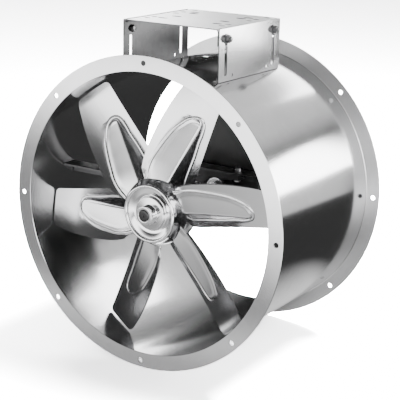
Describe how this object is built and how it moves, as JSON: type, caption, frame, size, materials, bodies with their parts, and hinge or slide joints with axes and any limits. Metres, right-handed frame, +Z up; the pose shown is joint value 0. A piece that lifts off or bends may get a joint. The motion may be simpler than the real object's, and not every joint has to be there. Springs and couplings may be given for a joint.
{
  "type": "belt-drive tubeaxial fan",
  "caption": "Belt-drive tubeaxial duct fan: flanged round tube, bladed propeller on a shaft held in the tube, belt tunnel, and a slotted motor base on top that slides to tension the belt.",
  "frame": {"origin": "on the fan's axis, in the plane of the front flange face (the side the propeller's hub faces)", "axes": "+Y along the fan's axis, from the propeller end to the belt-tunnel end, which is also the way the air goes; +Z up, towards the motor base; +X to the right as seen from the front"},
  "size_m": [0.685, 0.4445, 0.7405],
  "materials": {
    "galvanised_steel": "bright, smooth galvanised sheet",
    "zinc_plate": "zinc-plated",
    "black_paint": "satin black",
    "polished_alloy": "bright, lightly polished",
    "bearing_steel": "ground"
  },
  "bodies": {
    "housing": {"housing_tube": "galvanised_steel", "flange_front": "galvanised_steel", "flange_rear": "galvanised_steel", "side_plate_left": "galvanised_steel", "side_plate_right": "galvanised_steel", "cross_angle_front": "black_paint", "cross_angle_rear": "black_paint", "bearing_housing_front": "black_paint", "bearing_housing_rear": "black_paint", "bearing_outer_ring_front": "bearing_steel", "bearing_outer_ring_rear": "bearing_steel", "bearing_bolt_front_left": "zinc_plate", "bearing_bolt_front_right": "zinc_plate", "bearing_bolt_rear_left": "zinc_plate", "bearing_bolt_rear_right": "zinc_plate", "bearing_nut_front_left": "zinc_plate", "bearing_nut_front_right": "zinc_plate", "bearing_nut_rear_left": "zinc_plate", "bearing_nut_rear_right": "zinc_plate", "belt_tunnel": "black_paint", "tunnel_cover": "black_paint", "cover_screw_1": "zinc_plate", "cover_screw_2": "zinc_plate", "cover_screw_3": "zinc_plate", "cover_screw_4": "zinc_plate"},
    "propeller": {"fan_shaft": "bearing_steel", "hub": "polished_alloy", "hub_key": "zinc_plate", "pulley_key": "zinc_plate", "hub_set_screw_1": "zinc_plate", "hub_set_screw_2": "zinc_plate", "bearing_inner_ring_front": "bearing_steel", "bearing_inner_ring_rear": "bearing_steel", "blade_1": "polished_alloy", "blade_2": "polished_alloy", "blade_3": "polished_alloy", "blade_4": "polished_alloy", "blade_5": "polished_alloy", "blade_6": "polished_alloy"},
    "motor_base": {"motor_base_plate": "galvanised_steel", "base_bolt_front_left": "zinc_plate", "base_bolt_front_right": "zinc_plate", "base_bolt_rear_left": "zinc_plate", "base_bolt_rear_right": "zinc_plate", "base_washer_front_left": "zinc_plate", "base_washer_front_right": "zinc_plate", "base_washer_rear_left": "zinc_plate", "base_washer_rear_right": "zinc_plate", "base_nut_front_left": "zinc_plate", "base_nut_front_right": "zinc_plate", "base_nut_rear_left": "zinc_plate", "base_nut_rear_right": "zinc_plate"}
  },
  "joints": [
    {"name": "propeller_spin", "type": "hinge", "parent": "housing", "child": "propeller", "pos_m": [0, 0.07, 0], "axis": [0, 1, 0], "continuous": true},
    {"name": "motor_base_slide", "type": "slide", "parent": "housing", "child": "motor_base", "axis": [0, 0, 1], "range_m": [-0.072, 0]}
  ]
}
